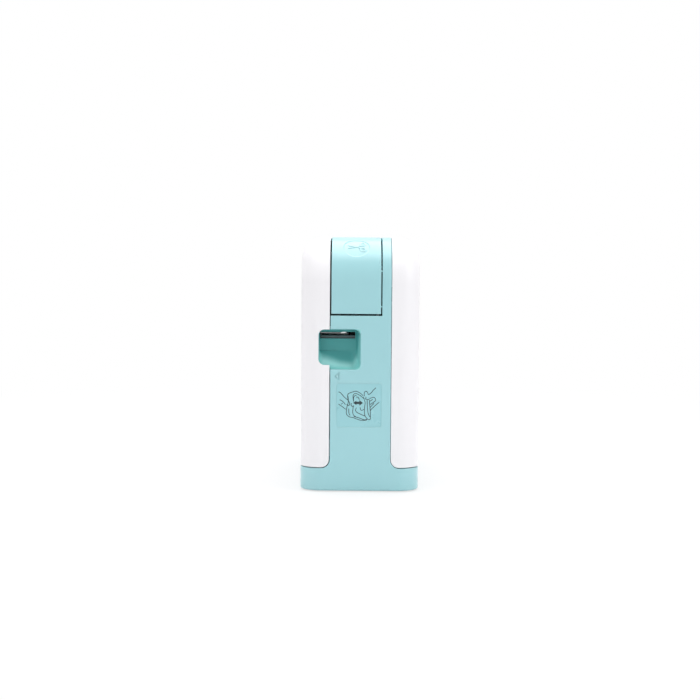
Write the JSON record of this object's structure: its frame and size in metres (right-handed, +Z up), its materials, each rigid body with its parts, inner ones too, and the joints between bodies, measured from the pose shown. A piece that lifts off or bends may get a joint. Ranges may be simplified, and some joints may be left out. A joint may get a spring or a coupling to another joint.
{
  "type": "tape label printer",
  "caption": "Compact upright label printer with white shells on a mint frame, a corner cutter key, a side tape outlet and a pull-off front cover.",
  "frame": {"origin": "centre of the footprint, on the table under the rubber feet", "axes": "+Z up, +X towards the side where the tape comes out, -Y towards the removable front cover"},
  "size_m": [0.128, 0.06, 0.1285],
  "materials": {
    "mint": "satin moulded",
    "white": "satin moulded",
    "dark_plastic": "satin moulded",
    "steel": "bright rolled",
    "aluminium": "extruded",
    "rubber": "matt",
    "natural_plastic": "satin moulded",
    "smoke_plastic": "clear smoke",
    "circuit_board": "solder mask",
    "label_paper": "laminated film",
    "cell_wrap": "printed sleeve",
    "film": "clear film",
    "lamp": "frosted"
  },
  "bodies": {
    "case": {"main_frame": "mint", "back_shell": "white", "base_plate": "mint", "rubber_foot_1": "rubber", "rubber_foot_2": "rubber", "rubber_foot_3": "rubber", "rubber_foot_4": "rubber", "base_screw_1": "steel", "base_screw_2": "steel", "mechanism_wall": "dark_plastic", "battery_bay": "dark_plastic", "cutter_guide": "dark_plastic", "case_screw_1": "steel", "case_screw_2": "steel", "case_screw_3": "steel", "case_screw_4": "steel", "guide_sticker": "film", "key_pin": "steel", "fixed_blade": "steel", "cutter_lip": "dark_plastic", "cutter_spring": "steel", "cassette_case": "smoke_plastic", "cassette_lid": "smoke_plastic", "label_tape": "label_paper", "tape_guide": "dark_plastic", "print_head": "natural_plastic", "heat_sink": "aluminium", "holder_pin": "steel", "holder_spring": "steel", "gear_plate": "steel", "motor": "steel", "plate_screw_1": "steel", "plate_screw_2": "steel", "battery_cell_1": "cell_wrap", "battery_cell_2": "cell_wrap", "battery_cell_3": "cell_wrap", "battery_cell_4": "cell_wrap", "battery_cell_5": "cell_wrap", "battery_cell_6": "cell_wrap", "main_board": "circuit_board", "switch_board": "circuit_board", "light_window": "lamp", "supply_socket": "dark_plastic"},
    "front_cover": {"front_cover": "white"},
    "cutter_key": {"cutter_key": "mint"},
    "blade": {"blade_carrier": "dark_plastic", "moving_blade": "steel"},
    "power_button": {"power_button": "white"},
    "roller_holder": {"roller_holder": "dark_plastic"},
    "platen": {"platen_roller": "rubber"},
    "pinch": {"pinch_roller": "rubber"},
    "drive": {"drive_spindle": "natural_plastic", "drive_roller": "rubber"},
    "take_up": {"take_up_spindle": "natural_plastic", "ribbon_take_up": "dark_plastic"},
    "idler": {"idler_gear": "natural_plastic"},
    "pinion": {"motor_pinion": "steel"},
    "tape_roll": {"tape_roll": "label_paper"},
    "ribbon_supply": {"ribbon_supply": "dark_plastic"}
  },
  "joints": [
    {"name": "cover_pull", "type": "slide", "parent": "case", "child": "front_cover", "axis": [0, -1, 0], "range_m": [0, 0.06]},
    {"name": "key_press", "type": "hinge", "parent": "case", "child": "cutter_key", "pos_m": [0.026, 0, 0.124], "axis": [0, 1, 0], "range_deg": [0, 6], "stiffness_Nm_per_rad": 0.6, "springref_deg": -6.88},
    {"name": "blade_drop", "type": "slide", "parent": "case", "child": "blade", "axis": [0, 0, -1], "range_m": [0, 0.0027], "deforming": ["cutter_spring"]},
    {"name": "power_press", "type": "slide", "parent": "case", "child": "power_button", "axis": [0, 0, -1], "range_m": [0, 0.0008], "stiffness_N_per_m": 900, "springref_m": -0.0008},
    {"name": "holder_swing", "type": "hinge", "parent": "case", "child": "roller_holder", "pos_m": [-0.004, 0, 0.068], "axis": [0, 1, 0], "range_deg": [0, 9], "stiffness_Nm_per_rad": 0.3, "springref_deg": -11.46, "deforming": ["holder_spring"]},
    {"name": "platen_turn", "type": "hinge", "parent": "roller_holder", "child": "platen", "pos_m": [0.012, 0, 0.07435], "axis": [0, -1, 0], "continuous": true},
    {"name": "pinch_turn", "type": "hinge", "parent": "roller_holder", "child": "pinch", "pos_m": [0.0258, 0, 0.0746], "axis": [0, -1, 0], "continuous": true},
    {"name": "drive_turn", "type": "hinge", "parent": "case", "child": "drive", "pos_m": [0.0258, 0, 0.0838], "axis": [0, -1, 0], "continuous": true},
    {"name": "take_up_turn", "type": "hinge", "parent": "case", "child": "take_up", "pos_m": [0.02229, 0, 0.099], "axis": [0, -1, 0], "continuous": true},
    {"name": "idler_turn", "type": "hinge", "parent": "case", "child": "idler", "pos_m": [0.0336, 0, 0.07029], "axis": [0, -1, 0], "continuous": true},
    {"name": "pinion_turn", "type": "hinge", "parent": "case", "child": "pinion", "pos_m": [0.02172, 0, 0.05841], "axis": [0, -1, 0], "continuous": true},
    {"name": "tape_roll_turn", "type": "hinge", "parent": "case", "child": "tape_roll", "pos_m": [-0.02, 0, 0.098], "axis": [0, -1, 0], "continuous": true},
    {"name": "supply_turn", "type": "hinge", "parent": "case", "child": "ribbon_supply", "pos_m": [0.011, 0, 0.1085], "axis": [0, -1, 0], "continuous": true}
  ],
  "couplings": [
    {"joint": "blade_drop", "follows": "key_press", "m_per_rad": 0.02482},
    {"joint": "platen_turn", "follows": "drive_turn", "ratio": -0.93333},
    {"joint": "pinch_turn", "follows": "drive_turn", "ratio": -1},
    {"joint": "take_up_turn", "follows": "drive_turn", "ratio": -1.6},
    {"joint": "idler_turn", "follows": "drive_turn", "ratio": -1.6},
    {"joint": "pinion_turn", "follows": "drive_turn", "ratio": 4},
    {"joint": "tape_roll_turn", "follows": "drive_turn", "ratio": 0.22105},
    {"joint": "supply_turn", "follows": "drive_turn", "ratio": 0.525}
  ]
}
